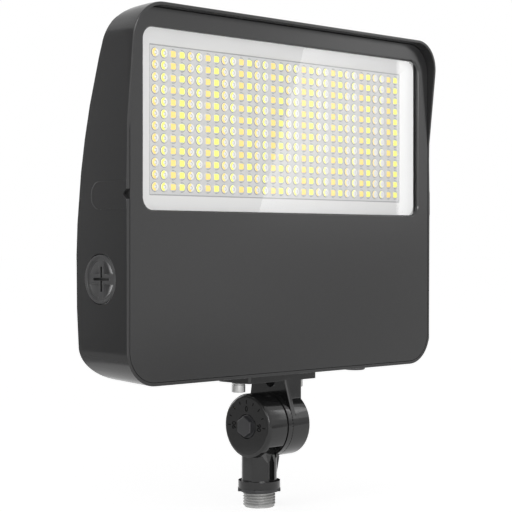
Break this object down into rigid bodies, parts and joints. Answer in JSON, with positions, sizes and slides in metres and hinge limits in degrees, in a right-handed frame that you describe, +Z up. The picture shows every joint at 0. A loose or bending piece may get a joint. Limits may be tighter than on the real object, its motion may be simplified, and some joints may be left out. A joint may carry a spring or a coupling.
{
  "type": "led flood light",
  "caption": "Square flood light: a finned cast head with light sources behind glass and a white reflector, on a hollow serrated knuckle that tilts and ends in a threaded nipple.",
  "frame": {"origin": "centre of the lower free end of the threaded nipple", "axes": "+Z up along the nipple into the light, the light shines towards -Y, +X is on the right seen from the front"},
  "size_m": [0.284, 0.0599, 0.3164],
  "materials": {
    "black_casting": "satin black powder coat with a very fine grain",
    "black_steel": "black oxide, satin",
    "zinc": "bright zinc plating",
    "stainless": "plain stainless steel",
    "silicone": "matte silicone rubber",
    "black_plastic": "moulded satin black plastic",
    "clear_glass": "clear tempered glass",
    "white_reflector": "white moulded reflector",
    "optic_sheet": "clear moulded lens sheet over a white board",
    "white_board": "white solder mask on aluminium",
    "warm_leds": "amber phosphor",
    "cool_leds": "yellow phosphor",
    "white_plastic": "moulded white plastic",
    "wire_insulation": "silicone wire insulation",
    "driver_case": "grey potted driver",
    "circuit_board": "green circuit board"
  },
  "bodies": {
    "stand": {"conduit_nipple": "zinc", "locknut": "black_steel", "lower_arm": "black_casting", "pivot_bolt": "black_steel", "pivot_washer": "black_steel"},
    "head": {"pivot_nut": "zinc", "upper_arm": "black_casting", "bracket_gasket": "silicone", "bracket_bolts": "stainless", "bracket_washers": "stainless", "rear_housing": "black_casting", "wire_grommet": "silicone", "breather_vent": "black_plastic", "frame_gasket": "silicone", "front_frame": "black_casting", "door_screws": "stainless", "door_screw_washers": "silicone", "glass_gasket": "silicone", "lens_glass": "clear_glass", "reflector": "white_reflector", "optic_sheet": "optic_sheet", "led_board": "white_board", "leds_warm": "warm_leds", "leds_cool": "cool_leds", "board_screws": "stainless", "board_connector": "white_plastic", "board_leads": "wire_insulation", "driver_case": "driver_case", "driver_screws": "stainless", "selector_board": "circuit_board", "selector_posts": "zinc", "selector_switch_bodies": "black_plastic"},
    "cap_seal": {"cap_o_ring": "silicone"},
    "cap": {"screw_cap": "black_plastic"},
    "power_knob": {"power_knob": "white_plastic"},
    "colour_knob": {"colour_knob": "white_plastic"}
  },
  "joints": [
    {"name": "head_tilt", "type": "hinge", "parent": "stand", "child": "head", "pos_m": [0, 0, 0.0535], "axis": [1, 0, 0], "range_deg": [-90, 90]},
    {"name": "cap_travel", "type": "slide", "parent": "head", "child": "cap_seal", "axis": [-1, 0, 0], "range_m": [0, 0.0082]},
    {"name": "cap_turn", "type": "hinge", "parent": "cap_seal", "child": "cap", "pos_m": [-0.132, 0.0029, 0.1517], "axis": [-1, 0, 0], "range_deg": [0, 1440]},
    {"name": "power_slide", "type": "slide", "parent": "head", "child": "power_knob", "axis": [0, 1, 0], "range_m": [-0.0022, 0.0022]},
    {"name": "colour_slide", "type": "slide", "parent": "head", "child": "colour_knob", "axis": [0, 1, 0], "range_m": [-0.0022, 0.0022]}
  ],
  "couplings": [
    {"joint": "cap_travel", "follows": "cap_turn", "m_per_rad": 0.00031831}
  ]
}
